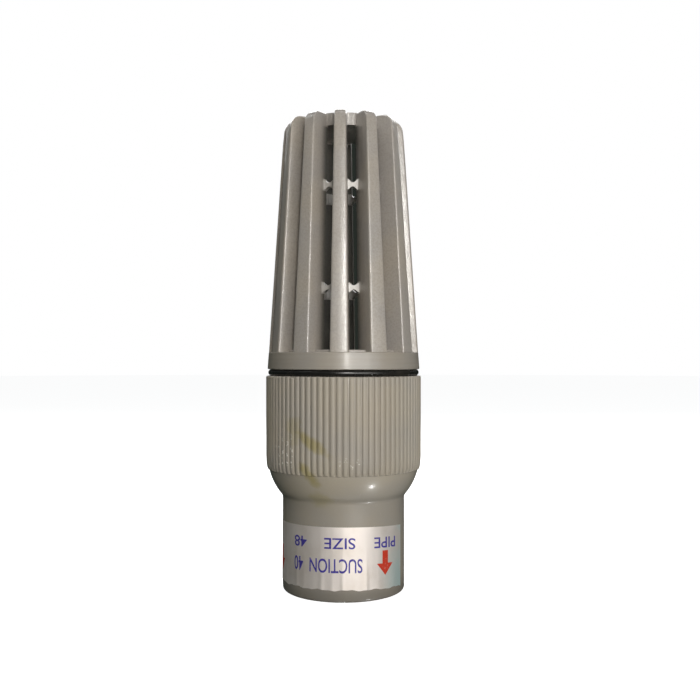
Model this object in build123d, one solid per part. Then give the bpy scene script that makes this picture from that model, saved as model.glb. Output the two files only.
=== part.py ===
"""Spring-loaded plastic foot valve for the end of a pump's suction pipe.

The valve stands on its pipe socket, with the strainer uppermost. In service it hangs the other way up:
water enters between the strainer's ribs, lifts the poppet off its seat against a light spring, and leaves
through the socket. When the pump stops the poppet shuts and keeps the pipe full.

Frame: millimetres, +Z from the socket towards the strainer's tip, origin at the centre of the socket's mouth.
The front of the valve faces -Y.

How it is put together:
- The body is one moulding: a plain pipe socket, a round bell, and a ridged grip with a female thread.
- The strainer is a threaded collar with a ribbed cage cemented into it. It screws into the grip on an O-ring.
- A seat ring with its own O-ring sits in the collar's neck and faces down into the bell.
- The poppet slides below the seat: a disc with a flat rubber gasket, clamped on a stem by a nut.
- The stem runs in a four-armed guide that rests on a ledge in the body, and a clip keeps it there.
"""

import os
from math import asin, atan2, cos, degrees, pi, radians, sin, sqrt

from build123d import *

# ---------------------------------------------------------------- driving dimensions, in millimetres
# Pipe socket
PIPE_DIA = 48.0             # outside diameter of the pipe that is cemented in
PIPE_CLEARANCE = 0.15       # gap all round the pipe
SOCKET_WALL = 4.35
SOCKET_DEPTH = 44.0
MOUTH_CHAMFER = 1.0
RIM_ROUND = 1.6             # rounded outer edge of the socket's mouth
STOP_LEDGE = 4.15           # how far the pipe stop stands in from the socket's wall
STOP_LAND = 7.0             # length of the narrow waterway above the pipe stop
PART_LINE_WIDTH = 0.5       # moulding line on the socket
PART_LINE_HEIGHT = 0.12
PART_LINE_ANGLE = 8.0       # degrees, from the front towards +X

# Bell and grip
GRIP_DIA = 72.6             # over the ridges
GRIP_LENGTH = 37.2          # straight length above the bell
BELL_ARC = 27.5             # radius of the bell's outline
BELL_WALL = 4.4
GRIP_WALL = 3.95            # from the bottom of the ridges to the thread's root
RIDGE_COUNT = 80
RIDGE_HEIGHT = 0.7
RIDGE_LENGTH = 43.3         # from the grip's mouth down on to the bell
RIDGE_FOOT_SHARE = 0.78     # part of the pitch that a ridge fills at its foot
RIDGE_TOP_SHARE = 0.46      # and at its shoulders
RIDGE_CROWN = 0.16          # how far a ridge's rounded top stands above its shoulders
MOUTH_ROUND = 0.4

# Thread between grip and strainer
PITCH = 3.0
THREAD_DEPTH = 1.4
THREAD_GAP = 0.25           # radial clearance at crest and root
MALE_FOOT = 0.7 * PITCH      # axial widths of the ridge on the neck
MALE_CREST = 0.3 * PITCH
FEMALE_FOOT = 0.53 * PITCH   # axial widths of the ridge in the grip
FEMALE_CREST = 0.18 * PITCH
THREAD_BITE = 0.1           # how far a thread's foot is sunk in its wall
THREAD_LEAD_IN = 1.2        # plain length at the neck's tip
SHANK_LENGTH = 0.9          # plain length of the neck inside the grip's mouth
NECK_END_GAP = 1.0          # free length of thread bore below the neck's tip

# Strainer collar
SEAL_GAP = 3.0              # height of the O-ring between grip and collar
SEAL_TOUCH = 0.03           # space left on each side of a rubber face that only touches
COLLAR_HEIGHT = 7.8
COLLAR_TAPER = 0.5          # the collar's top is this much smaller in radius
COLLAR_EDGE = 0.35
SPIGOT_DEPTH = 6.0          # depth of the cage's foot in the collar
SPIGOT_SETBACK = 5.1        # from the collar's top edge in to the spigot
NECK_WALL = 3.0             # wall round the seat ring

# Strainer cage
CAGE_HEIGHT = 108.1         # above the collar
CAGE_STEP = 0.1             # the ribs' feet stand this much inside the collar's edge
CAGE_TAPER = 7.2            # fall in outer radius from foot to tip
CAGE_FOOT_DEPTH = 13.0      # radial depth of a rib at its foot
CAGE_TIP_DEPTH = 11.2       # and at its tip
RIB_COUNT = 12
RIB_FOOT_WIDTH = 8.2
RIB_TIP_WIDTH = 5.2
RIB_EDGE = 0.7              # rounding of a rib's outer edges
TIP_ROUND = 5.2             # rounding of the cage's shoulder
CAP_THICKNESS = 5.5
CAP_OVERLAP = 1.0           # how far the cap reaches into the ribs
FLOOR_RISE = 1.0            # the foot ring shows this much above the collar
HOOP_HEIGHTS = (28.8, 75.2)  # centres of the two hoops, above the collar
HOOP_WIDTH = 5.0
HOOP_DEPTH = 3.0
HOOP_WAIST = 1.4            # what is left of a hoop midway between two ribs

# Seat ring
SEAT_LEDGE = 5.0            # radial step in the neck that the seat ring rests on
SEAT_HEIGHT = 6.0
SEAT_SETBACK = 2.5          # the seat's bore is this much smaller in radius than the neck's
SEAT_LIP_HEIGHT = 1.0
SEAT_LIP_FOOT = 2.4
SEAT_LIP_TIP = 1.2
SEAT_SEAL_WIDTH = 2.2
SEAT_SEAL_DEPTH = 1.5

# Poppet
POPPET_OVERLAP = 6.0        # the poppet's radius, less the seat's bore radius
POPPET_PLATE = 5.45         # disc thickness under the gasket
POPPET_RIM = 1.0            # width of the rim round the gasket
POPPET_RIM_HEIGHT = 1.7
BOSS_DIA = 14.0
BOSS_HEIGHT = 3.5
GASKET_THICKNESS = 3.0
GASKET_CLEARANCE = 0.1
RETAINER_SETBACK = 4.5      # the retainer's radius, less than the seat's bore radius
RETAINER_THICKNESS = 2.0
RETAINER_CHAMFER = 0.6
LIFT = 10.5                 # travel of the poppet
LIFT_END_GAP = 0.05         # space left between boss and hub at full lift

# Stem, nut and clip
STEM_DIA = 8.0
STEM_END_DIA = 6.0          # threaded upper end
STEM_RUNNING_GAP = 0.08     # radial clearance in the guide
STEM_PROUD = 1.5            # stem end above the nut
STEM_END_CLEAR = 0.8        # stem end above the pipe stop
STEM_TAIL = 1.4             # stem below the clip
STEM_CHAMFER = 0.5
NUT_ACROSS_FLATS = 10.0
NUT_HEIGHT = 5.0
CLIP_THICKNESS = 0.8
CLIP_WIDTH = 2.4
CLIP_GROOVE_DEPTH = 1.0
CLIP_MOUTH = 4.2

# Guide
ARM_COUNT = 4
ARM_WIDTH = 4.0
ARM_HEIGHT = 6.0
GUIDE_RIM_WIDTH = 3.0
GUIDE_CLEARANCE = 0.1
HUB_DIA = 14.0
LEDGE_SLOPE = 3.0           # height of the sloped shoulder above the guide's pocket

# Spring
SPRING_LENGTH = 19.5        # fitted, with the poppet shut
SPRING_MEAN_DIA = 18.6
SPRING_WIRE = 1.2
SPRING_TURNS = 5.5

# Label
LABEL_BOTTOM = 5.7          # above the socket's mouth
LABEL_HEIGHT = 27.7
LABEL_THICKNESS = 0.12
LABEL_FROM = -150.0         # degrees, from the front towards +X
LABEL_TO = 69.0

# ---------------------------------------------------------------- sizes and places that follow from them
socket_r = PIPE_DIA / 2 + PIPE_CLEARANCE
neck_r = socket_r + SOCKET_WALL
waterway_r = socket_r - STOP_LEDGE
grip_r = GRIP_DIA / 2
base_r = grip_r - RIDGE_HEIGHT
bell_r = base_r - BELL_ARC
bell_z = SOCKET_DEPTH + sqrt(BELL_ARC**2 - (neck_r - bell_r) ** 2)
body_top = bell_z + GRIP_LENGTH
chamber_r = base_r - BELL_WALL
pocket_r = (waterway_r + chamber_r) / 2

female_root_r = base_r - GRIP_WALL
male_crest_r = female_root_r - THREAD_GAP
male_root_r = male_crest_r - THREAD_DEPTH
female_crest_r = male_root_r + THREAD_GAP
shank_r = male_crest_r - THREAD_BITE

guide_z = SOCKET_DEPTH + STOP_LAND
pocket_top = guide_z + ARM_HEIGHT
disc_z = pocket_top + SPRING_LENGTH
gasket_z = disc_z + POPPET_PLATE
retainer_z = gasket_z + GASKET_THICKNESS
seat_z = retainer_z + SEAL_TOUCH
neck_end = seat_z + SEAT_LIP_HEIGHT
nut_z = retainer_z + RETAINER_THICKNESS
stem_top = nut_z + NUT_HEIGHT + STEM_PROUD
stem_bottom = SOCKET_DEPTH + STEM_END_CLEAR
clip_z = stem_bottom + STEM_TAIL
boss_z = disc_z - BOSS_HEIGHT
hub_top = boss_z - LIFT - LIFT_END_GAP

collar_z = body_top + SEAL_GAP
collar_top = collar_z + COLLAR_HEIGHT
collar_top_r = base_r - COLLAR_TAPER
spigot_r = collar_top_r - SPIGOT_SETBACK
seat_ring_r = male_root_r - NECK_WALL
neck_bore_r = seat_ring_r - SEAT_LEDGE
seat_bore_r = neck_bore_r - SEAT_SETBACK
poppet_r = seat_bore_r + POPPET_OVERLAP
retainer_r = seat_bore_r - RETAINER_SETBACK

cage_top = collar_top + CAGE_HEIGHT
cage_foot_r = collar_top_r - CAGE_STEP
cage_tip_r = cage_foot_r - CAGE_TAPER
cage_foot_inner_r = cage_foot_r - CAGE_FOOT_DEPTH
cage_tip_inner_r = cage_tip_r - CAGE_TIP_DEPTH
cap_z = cage_top - CAP_THICKNESS

thread_length = body_top - SHANK_LENGTH - neck_end - THREAD_LEAD_IN
thread_turns = (thread_length - MALE_FOOT) / PITCH


# ---------------------------------------------------------------- helpers
def turned(*edges, arc=360.0):
    """A solid of revolution about Z from a closed outline drawn as (radius, height)."""
    return revolve(Plane.XZ * Face(Wire(edges)), Axis.Z, revolution_arc=arc)


def lines(*points):
    """Straight edges through (radius, height) points."""
    return [Line(a, b).edge() for a, b in zip(points, points[1:])]


def ring(inner_r, outer_r, z0, z1, arc=360.0):
    """A plain ring or washer, or part of one that starts at +X."""
    corners = [(inner_r, z0), (outer_r, z0), (outer_r, z1), (inner_r, z1), (inner_r, z0)]
    return turned(*lines(*corners), arc=arc)


def arc_about(centre, radius, start, end):
    """An arc of a circle about centre, from one angle to another in degrees."""
    return CenterArc(centre, radius, start, end - start).edge()


def squeezed_ring(inner_r, outer_r, z0, z1):
    """A rubber ring pressed flat between two faces: flat top and bottom, round sides."""
    half = (z1 - z0) / 2
    mid = (z0 + z1) / 2
    left, right = inner_r + half, outer_r - half
    return turned(
        Line((left, z0), (right, z0)).edge(),
        ThreePointArc((right, z0), (outer_r, mid), (right, z1)).edge(),
        Line((right, z1), (left, z1)).edge(),
        ThreePointArc((left, z1), (inner_r, mid), (left, z0)).edge(),
    )


def thread_ridge(foot_r, crest_r, foot, crest, start_z):
    """The helical ridge of a thread, with its foot on foot_r and its crest on crest_r."""
    path = Helix(pitch=PITCH, height=PITCH * thread_turns, radius=foot_r)
    outline = Wire.make_polygon(
        [(foot_r, 0, -foot / 2), (crest_r, 0, -crest / 2), (crest_r, 0, crest / 2), (foot_r, 0, foot / 2)]
    )
    return Pos(0, 0, start_z) * sweep(Face(outline), path=path, is_frenet=True)


def around(solid, count, first=0.0):
    """The same solid turned to count places about Z."""
    return [Rot(0, 0, first + i * 360 / count) * solid for i in range(count)]


def at_height(foot, tip, z):
    """A cage size that changes evenly from the collar to the tip."""
    return foot + (tip - foot) * (z - collar_top) / CAGE_HEIGHT


# ---------------------------------------------------------------- the body and what is fixed in it
def ridge_envelope():
    """The space that the grip's ridges may fill: one ridge height outside the body, with the bell's outline."""
    foot_z = body_top - RIDGE_LENGTH
    arc_r = BELL_ARC + RIDGE_HEIGHT
    inner_r = chamber_r + BELL_WALL / 2
    if foot_z >= bell_z:
        start = (grip_r, foot_z)
        side = lines(start, (grip_r, body_top))
    else:
        turn = degrees(asin((foot_z - bell_z) / arc_r))
        start = (bell_r + arc_r * cos(radians(turn)), foot_z)
        side = [arc_about((bell_r, bell_z), arc_r, turn, 0), *lines((grip_r, bell_z), (grip_r, body_top))]
    return turned(
        *lines((inner_r, foot_z), start),
        *side,
        *lines((grip_r, body_top), (inner_r, body_top), (inner_r, foot_z)),
    )


def ridged_sleeve():
    """The grip's ridges on a thin sleeve, square-cut, before the bell's outline trims them."""
    pitch = 2 * pi / RIDGE_COUNT
    foot_half = pitch * RIDGE_FOOT_SHARE / 2
    top_half = pitch * RIDGE_TOP_SHARE / 2
    edges = []

    def at(r, a):
        return (r * cos(a), r * sin(a))

    for i in range(RIDGE_COUNT):
        mid = i * pitch
        foot_a, foot_b = at(base_r, mid - foot_half), at(base_r, mid + foot_half)
        top_a = at(grip_r - RIDGE_CROWN, mid - top_half)
        top_b = at(grip_r - RIDGE_CROWN, mid + top_half)
        edges.append(Line(foot_a, top_a).edge())
        edges.append(ThreePointArc(top_a, at(grip_r, mid), top_b).edge())
        edges.append(Line(top_b, foot_b).edge())
        edges.append(Line(foot_b, at(base_r, mid + pitch - foot_half)).edge())
    outline = Face(Wire(edges)) - Circle(chamber_r + BELL_WALL / 2)
    foot_z = body_top - RIDGE_LENGTH
    return Pos(0, 0, foot_z) * extrude(outline, RIDGE_LENGTH)


def body_outline():
    """The body as turned: socket, bell and grip, with the waterway through it."""
    crease = degrees(atan2(SOCKET_DEPTH - bell_z, neck_r - bell_r))
    thread_bore_z = neck_end - NECK_END_GAP
    inner_arc = BELL_ARC - BELL_WALL
    slope_top = pocket_top + LEDGE_SLOPE
    outside = [
        *lines((socket_r + MOUTH_CHAMFER, 0), (neck_r - RIM_ROUND, 0)),
        arc_about((neck_r - RIM_ROUND, RIM_ROUND), RIM_ROUND, -90, 0),
        *lines((neck_r, RIM_ROUND), (neck_r, SOCKET_DEPTH)),
        arc_about((bell_r, bell_z), BELL_ARC, crease, 0),
        *lines((base_r, bell_z), (base_r, body_top - MOUTH_ROUND)),
        arc_about((base_r - MOUTH_ROUND, body_top - MOUTH_ROUND), MOUTH_ROUND, 0, 90),
        *lines(
            (base_r - MOUTH_ROUND, body_top),
            (female_root_r, body_top),
            (female_root_r, thread_bore_z),
            (chamber_r, thread_bore_z),
        ),
    ]
    if slope_top < bell_z:
        turn = degrees(asin((slope_top - bell_z) / inner_arc))
        slope_r = bell_r + inner_arc * cos(radians(turn))
        chamber = [
            *lines((chamber_r, thread_bore_z), (chamber_r, bell_z)),
            arc_about((bell_r, bell_z), inner_arc, 0, turn),
        ]
    else:
        slope_r = chamber_r
        chamber = lines((chamber_r, thread_bore_z), (chamber_r, slope_top))
    inside = lines(
        (slope_r, slope_top),
        (pocket_r, pocket_top),
        (pocket_r, guide_z),
        (waterway_r, guide_z),
        (waterway_r, SOCKET_DEPTH),
        (socket_r, SOCKET_DEPTH),
        (socket_r, MOUTH_CHAMFER),
        (socket_r + MOUTH_CHAMFER, 0),
    )
    return turned(*outside, *chamber, *inside)


def part_lines():
    """Fine moulding lines on opposite sides of the socket, where the label leaves it bare."""
    bare = [(RIM_ROUND, LABEL_BOTTOM), (LABEL_BOTTOM + LABEL_HEIGHT, SOCKET_DEPTH)]
    strips = []
    for z0, z1 in bare:
        depth = PART_LINE_HEIGHT + SOCKET_WALL / 4
        box = Box(depth, PART_LINE_WIDTH, z1 - z0, align=(Align.MAX, Align.CENTER, Align.MIN))
        strip = Pos(neck_r + PART_LINE_HEIGHT, 0, z0) * box
        strips += around(strip, 2, PART_LINE_ANGLE - 90)
    return strips


def valve_body():
    """Socket, bell and ridged grip in one moulding, with the female thread in the grip."""
    ridges = ridged_sleeve() & ridge_envelope()
    first_turn = neck_end + THREAD_LEAD_IN + MALE_FOOT / 2
    thread = thread_ridge(
        female_root_r + THREAD_BITE, female_crest_r, FEMALE_FOOT, FEMALE_CREST, first_turn + PITCH / 2 - PITCH
    )
    return body_outline() + ridges + thread + part_lines()


def body_label():
    """A foil label wrapped round the front and one side of the socket."""
    band = ring(neck_r, neck_r + LABEL_THICKNESS, LABEL_BOTTOM, LABEL_BOTTOM + LABEL_HEIGHT, LABEL_TO - LABEL_FROM)
    return Rot(0, 0, LABEL_FROM - 90) * band


def guide_spider():
    """Rim, four arms and a long hub that guides the poppet's stem. It rests on the ledge above the pipe stop."""
    rim_r = pocket_r - GUIDE_CLEARANCE
    rim = ring(rim_r - GUIDE_RIM_WIDTH, rim_r, guide_z, pocket_top)
    reach = rim_r - GUIDE_RIM_WIDTH / 2
    arm = Pos(0, 0, guide_z) * Box(reach, ARM_WIDTH, ARM_HEIGHT, align=(Align.MIN, Align.CENTER, Align.MIN))
    hub = Pos(0, 0, guide_z) * extrude(Circle(HUB_DIA / 2), hub_top - guide_z)
    bore = Pos(0, 0, guide_z - 1) * extrude(Circle(STEM_DIA / 2 + STEM_RUNNING_GAP), hub_top - guide_z + 2)
    return rim + around(arm, ARM_COUNT, 45) + hub - bore


def return_spring():
    """Compression spring between the guide's arms and the poppet's disc."""
    rise = SPRING_LENGTH - SPRING_WIRE - 2 * SEAL_TOUCH
    coil_r = SPRING_MEAN_DIA / 2
    path = Helix(pitch=rise / SPRING_TURNS, height=rise, radius=coil_r)
    start = Plane(origin=path @ 0, z_dir=path % 0)
    wire = sweep(start * Circle(SPRING_WIRE / 2), path=path, is_frenet=True)
    return Pos(0, 0, pocket_top + SPRING_WIRE / 2 + SEAL_TOUCH) * wire


# ---------------------------------------------------------------- the strainer and what comes away with it
def collar_o_ring():
    """The black ring squeezed between grip and collar, in sight all round."""
    return squeezed_ring(
        shank_r + 5 * SEAL_TOUCH, base_r - COLLAR_EDGE, body_top + SEAL_TOUCH, collar_z - SEAL_TOUCH
    )


def strainer_collar():
    """Turned collar with a threaded neck below it and a pocket for the cage above."""
    shank_z = body_top - SHANK_LENGTH
    seat_top = neck_end + SEAT_HEIGHT
    blank = turned(
        *lines(
            (seat_ring_r, neck_end),
            (male_root_r, neck_end),
            (male_root_r, shank_z),
            (shank_r, shank_z),
            (shank_r, collar_z),
            (base_r - COLLAR_EDGE, collar_z),
            (base_r, collar_z + COLLAR_EDGE),
            (collar_top_r, collar_top - COLLAR_EDGE),
            (collar_top_r - COLLAR_EDGE / 2, collar_top),
            (spigot_r, collar_top),
            (spigot_r, collar_top - SPIGOT_DEPTH),
            (neck_bore_r, collar_top - SPIGOT_DEPTH),
            (neck_bore_r, seat_top),
            (seat_ring_r, seat_top),
            (seat_ring_r, neck_end),
        )
    )
    first_turn = neck_end + THREAD_LEAD_IN + MALE_FOOT / 2
    return blank + thread_ridge(male_root_r - THREAD_BITE, male_crest_r, MALE_FOOT, MALE_CREST, first_turn)


def cage_envelope():
    """The cone that the ribs are cut from, with its rounded shoulder and its hollow."""
    fall = CAGE_TAPER / CAGE_HEIGHT
    lean = degrees(atan2(fall, 1))
    # The shoulder's centre is one radius inside both the cone and the flat tip.
    centre_z = cage_top - TIP_ROUND
    centre_r = at_height(cage_foot_r, cage_tip_r, centre_z) - TIP_ROUND / cos(radians(lean))
    side_end = (centre_r + TIP_ROUND * cos(radians(lean)), centre_z + TIP_ROUND * sin(radians(lean)))
    return turned(
        *lines((cage_foot_inner_r, collar_top), (cage_foot_r, collar_top), side_end),
        arc_about((centre_r, centre_z), TIP_ROUND, lean, 90),
        *lines((centre_r, cage_top), (cage_tip_inner_r, cage_top), (cage_foot_inner_r, collar_top)),
    )


def rib_blank():
    """One rib as a flat-sided slab along +X that narrows towards the tip, with its outer edges rounded later."""
    foot, tip = RIB_FOOT_WIDTH / 2, RIB_TIP_WIDTH / 2
    outline = Wire.make_polygon(
        [(0, -foot, collar_top), (0, foot, collar_top), (0, tip, cage_top), (0, -tip, cage_top)]
    )
    return extrude(Face(outline), cage_foot_r + 1, dir=(1, 0, 0))


def cage_rib():
    """One finished rib, on +X."""
    rib = cage_envelope() & rib_blank()
    rib = rib.solids().sort_by(Axis.X)[-1]
    # Long outer edges only: they run up the rib and lie outside its middle.
    middle = (cage_foot_inner_r + cage_foot_r) / 2
    outer = [e for e in rib.edges() if e.length > CAGE_HEIGHT / 2 and e.center().X > middle]
    return rib.fillet(RIB_EDGE, outer)


def hoop(height):
    """A hoop that ties the ribs together at their inner edges, waisted midway between each two."""
    z = collar_top + height
    inner_r = at_height(cage_foot_inner_r, cage_tip_inner_r, z)
    band = ring(inner_r, inner_r + HOOP_DEPTH, z - HOOP_WIDTH / 2, z + HOOP_WIDTH / 2)
    rib_width = at_height(RIB_FOOT_WIDTH, RIB_TIP_WIDTH, z)
    gap = 2 * (inner_r + HOOP_DEPTH / 2) * sin(pi / RIB_COUNT) - rib_width
    notch_r = min(gap, HOOP_WIDTH - HOOP_WAIST) / 2
    cut = extrude(Plane.YZ * Circle(notch_r), inner_r + 2 * HOOP_DEPTH)
    offset = HOOP_WAIST / 2 + notch_r
    notches = []
    for side in (-offset, offset):
        notches += around(Pos(0, 0, z + side) * cut, RIB_COUNT, 180 / RIB_COUNT)
    return band - notches


def strainer_cage():
    """Twelve deep ribs on a foot ring, closed by a flat cap and tied by two hoops."""
    foot = ring(cage_foot_inner_r, spigot_r, collar_top - SPIGOT_DEPTH, collar_top + FLOOR_RISE)
    cap_r = at_height(cage_foot_inner_r, cage_tip_inner_r, cap_z) + CAP_OVERLAP
    cap = ring(0, cap_r, cap_z, cage_top)
    hoops = [hoop(height) for height in HOOP_HEIGHTS]
    first = -90.0
    return foot + cap + hoops + around(cage_rib(), RIB_COUNT, first)


def seat_ring():
    """Ring in the neck with a narrow lip below it that the gasket closes on."""
    lip_r = seat_bore_r + SEAT_LIP_FOOT / 2 + 0.3
    groove_z = neck_end + (SEAT_HEIGHT - SEAT_SEAL_WIDTH) / 2
    groove_r = seat_ring_r - SEAT_SEAL_DEPTH
    return turned(
        *lines(
            (seat_bore_r, neck_end),
            (lip_r - SEAT_LIP_FOOT / 2, neck_end),
            (lip_r - SEAT_LIP_TIP / 2, seat_z),
            (lip_r + SEAT_LIP_TIP / 2, seat_z),
            (lip_r + SEAT_LIP_FOOT / 2, neck_end),
            (seat_ring_r, neck_end),
            (seat_ring_r, groove_z),
            (groove_r, groove_z),
            (groove_r, groove_z + SEAT_SEAL_WIDTH),
            (seat_ring_r, groove_z + SEAT_SEAL_WIDTH),
            (seat_ring_r, neck_end + SEAT_HEIGHT),
            (seat_bore_r, neck_end + SEAT_HEIGHT),
            (seat_bore_r, neck_end),
        )
    )


def seat_o_ring():
    """Rubber ring in the seat ring's groove, squeezed against the neck."""
    groove_z = neck_end + (SEAT_HEIGHT - SEAT_SEAL_WIDTH) / 2
    section = RectangleRounded(SEAT_SEAL_DEPTH, SEAT_SEAL_WIDTH - 2 * SEAL_TOUCH, SEAT_SEAL_DEPTH / 3)
    centre = Location((seat_ring_r - SEAT_SEAL_DEPTH / 2, groove_z + SEAT_SEAL_WIDTH / 2))
    return revolve(Plane.XZ * (centre * section), Axis.Z)


# ---------------------------------------------------------------- the poppet
def poppet_disc():
    """Round plate with a shallow tray for the gasket and a boss that stops against the hub at full lift."""
    stem_r = STEM_END_DIA / 2
    tray_r = poppet_r - POPPET_RIM
    return turned(
        *lines(
            (stem_r, boss_z),
            (BOSS_DIA / 2, boss_z),
            (BOSS_DIA / 2, disc_z),
            (poppet_r - POPPET_RIM, disc_z),
            (poppet_r, disc_z + POPPET_RIM),
            (poppet_r, gasket_z + POPPET_RIM_HEIGHT),
            (tray_r, gasket_z + POPPET_RIM_HEIGHT),
            (tray_r, gasket_z),
            (stem_r, gasket_z),
            (stem_r, boss_z),
        )
    )


def poppet_gasket():
    """Flat rubber washer that seals on the seat's lip."""
    return ring(STEM_END_DIA / 2, poppet_r - POPPET_RIM - GASKET_CLEARANCE, gasket_z, retainer_z)


def gasket_retainer():
    """Washer that clamps the gasket, small enough to pass up through the seat."""
    return turned(
        *lines(
            (STEM_END_DIA / 2, retainer_z),
            (retainer_r, retainer_z),
            (retainer_r, nut_z - RETAINER_CHAMFER),
            (retainer_r - RETAINER_CHAMFER, nut_z),
            (STEM_END_DIA / 2, nut_z),
            (STEM_END_DIA / 2, retainer_z),
        )
    )


def stem_nut():
    """Hexagon nut on the stem's upper end."""
    hexagon = RegularPolygon(NUT_ACROSS_FLATS / 2, 6, major_radius=False) - Circle(STEM_END_DIA / 2)
    return Pos(0, 0, nut_z) * extrude(hexagon, NUT_HEIGHT)


def guide_stem():
    """Round stem with a shoulder under the disc, a thinner threaded end above it and a clip groove near its foot."""
    r, end_r = STEM_DIA / 2, STEM_END_DIA / 2
    groove_r = r - CLIP_GROOVE_DEPTH
    return turned(
        *lines(
            (0, stem_bottom),
            (r - STEM_CHAMFER, stem_bottom),
            (r, stem_bottom + STEM_CHAMFER),
            (r, clip_z),
            (groove_r, clip_z),
            (groove_r, clip_z + CLIP_THICKNESS),
            (r, clip_z + CLIP_THICKNESS),
            (r, boss_z),
            (end_r, boss_z),
            (end_r, stem_top - STEM_CHAMFER),
            (end_r - STEM_CHAMFER, stem_top),
            (0, stem_top),
            (0, stem_bottom),
        )
    )


def stem_clip():
    """Open spring clip in the stem's groove. It keeps the poppet in the guide when the strainer is off."""
    groove_r = STEM_DIA / 2 - CLIP_GROOVE_DEPTH
    disc = ring(groove_r, groove_r + CLIP_WIDTH, clip_z, clip_z + CLIP_THICKNESS)
    mouth = Box(groove_r + 2 * CLIP_WIDTH, CLIP_MOUTH, 3 * CLIP_THICKNESS, align=(Align.MIN, Align.CENTER, Align.CENTER))
    return disc - Pos(0, 0, clip_z) * mouth


# ---------------------------------------------------------------- one STEP file for each piece
PIECES = {
    "valve_body": valve_body,
    "body_label": body_label,
    "guide_spider": guide_spider,
    "return_spring": return_spring,
    "collar_o_ring": collar_o_ring,
    "strainer_collar": strainer_collar,
    "strainer_cage": strainer_cage,
    "seat_ring": seat_ring,
    "seat_o_ring": seat_o_ring,
    "poppet_disc": poppet_disc,
    "poppet_gasket": poppet_gasket,
    "gasket_retainer": gasket_retainer,
    "stem_nut": stem_nut,
    "guide_stem": guide_stem,
    "stem_clip": stem_clip,
}

os.makedirs("parts", exist_ok=True)
for name, make in PIECES.items():
    solid = make()
    export_step(solid, f"parts/{name}.step")
    print(f"{name}: {len(solid.solids())} solid, {solid.volume:.0f} mm3")
print(f"lift travel {LIFT} mm, thread turns {thread_turns:.2f}, body top {body_top:.2f}, seat {seat_z:.2f}")
print(f"neck end {neck_end:.2f}, collar top {collar_top:.2f}, cage top {cage_top:.2f}, poppet radius {poppet_r:.2f}")
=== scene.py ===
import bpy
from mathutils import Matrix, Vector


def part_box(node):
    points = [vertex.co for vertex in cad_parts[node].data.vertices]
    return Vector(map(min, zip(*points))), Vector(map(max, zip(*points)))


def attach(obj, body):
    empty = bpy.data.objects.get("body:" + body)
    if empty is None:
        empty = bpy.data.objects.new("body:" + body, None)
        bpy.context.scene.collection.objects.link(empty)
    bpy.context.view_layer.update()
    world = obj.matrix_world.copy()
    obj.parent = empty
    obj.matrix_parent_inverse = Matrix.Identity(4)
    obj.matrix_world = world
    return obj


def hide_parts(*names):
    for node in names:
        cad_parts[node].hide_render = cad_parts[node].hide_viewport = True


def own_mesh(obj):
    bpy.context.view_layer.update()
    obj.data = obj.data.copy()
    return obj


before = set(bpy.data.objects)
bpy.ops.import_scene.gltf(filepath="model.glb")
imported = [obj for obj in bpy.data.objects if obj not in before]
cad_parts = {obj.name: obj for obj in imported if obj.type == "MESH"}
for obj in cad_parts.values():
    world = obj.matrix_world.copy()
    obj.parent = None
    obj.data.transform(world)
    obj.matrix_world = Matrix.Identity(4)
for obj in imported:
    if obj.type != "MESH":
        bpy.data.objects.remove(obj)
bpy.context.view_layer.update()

from math import atan2, cos, degrees, exp, pi, radians, sin, sqrt

import bmesh
import bpy
from mathutils import Matrix, Vector, noise

MM = 0.001

# ---------------------------------------------------------------------------------------------- studio
# The valve stands on a plain pale floor under soft light. A small light just above the camera draws the bright
# line down the middle rib, a broad one fills from the right, and the surroundings darken near the floor.
EYE_DISTANCE = 0.4140
EYE_HEIGHT = 0.1069
EYE_LENS = 45.2
EYE_AZIMUTH = radians(3.2)
AXIS_OFFSET = 0.0093          # the valve stands a little left of the picture's middle
HORIZON_OFFSET = 0.0143

eye = bpy.data.objects.new("camera", bpy.data.cameras.new("camera"))
bpy.context.scene.collection.objects.link(eye)
eye.location = (EYE_DISTANCE * sin(EYE_AZIMUTH), -EYE_DISTANCE * cos(EYE_AZIMUTH), EYE_HEIGHT)
eye.rotation_euler = (pi / 2, 0, EYE_AZIMUTH)
eye.data.lens = EYE_LENS
eye.data.shift_x = AXIS_OFFSET
eye.data.shift_y = HORIZON_OFFSET
eye.data.clip_start = 0.01
bpy.context.scene.camera = eye
bpy.context.scene.view_settings.view_transform = "Standard"

LIT_HEIGHT = 0.11             # the lights face the middle of the valve


def soft_light(name, azimuth, elevation, distance, width, height, watts, tint=(1.0, 1.0, 1.0)):
    """A rectangular light that faces the valve's middle, placed by its direction from there in degrees."""
    lamp = bpy.data.objects.new(name, bpy.data.lights.new(name, "AREA"))
    bpy.context.scene.collection.objects.link(lamp)
    a, e = radians(azimuth), radians(elevation)
    away = Vector((sin(a) * cos(e), -cos(a) * cos(e), sin(e)))
    lamp.location = Vector((0, 0, LIT_HEIGHT)) + away * distance
    lamp.rotation_euler = away.to_track_quat("Z", "Y").to_euler()
    lamp.data.shape = "RECTANGLE"
    lamp.data.size = width
    lamp.data.size_y = height
    lamp.data.energy = watts
    lamp.data.color = tint
    lamp.visible_camera = False
    return lamp


soft_light("front_strip", 7.6, 13.6, 0.62, 0.070, 0.14, 1.22, (1.0, 0.97, 0.93))
soft_light("main", 24.0, 5.0, 0.80, 0.50, 0.50, 3.5, (1.0, 0.985, 0.96))
soft_light("left_high", -70.0, 60.0, 0.90, 0.30, 0.30, 1.6, (0.98, 1.0, 1.0))
soft_light("low_glint", 59.0, -50.0, 0.80, 0.06, 0.06, 0.8)
soft_light("right_low", 48.0, 4.0, 0.80, 0.30, 0.25, 0.5)
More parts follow.
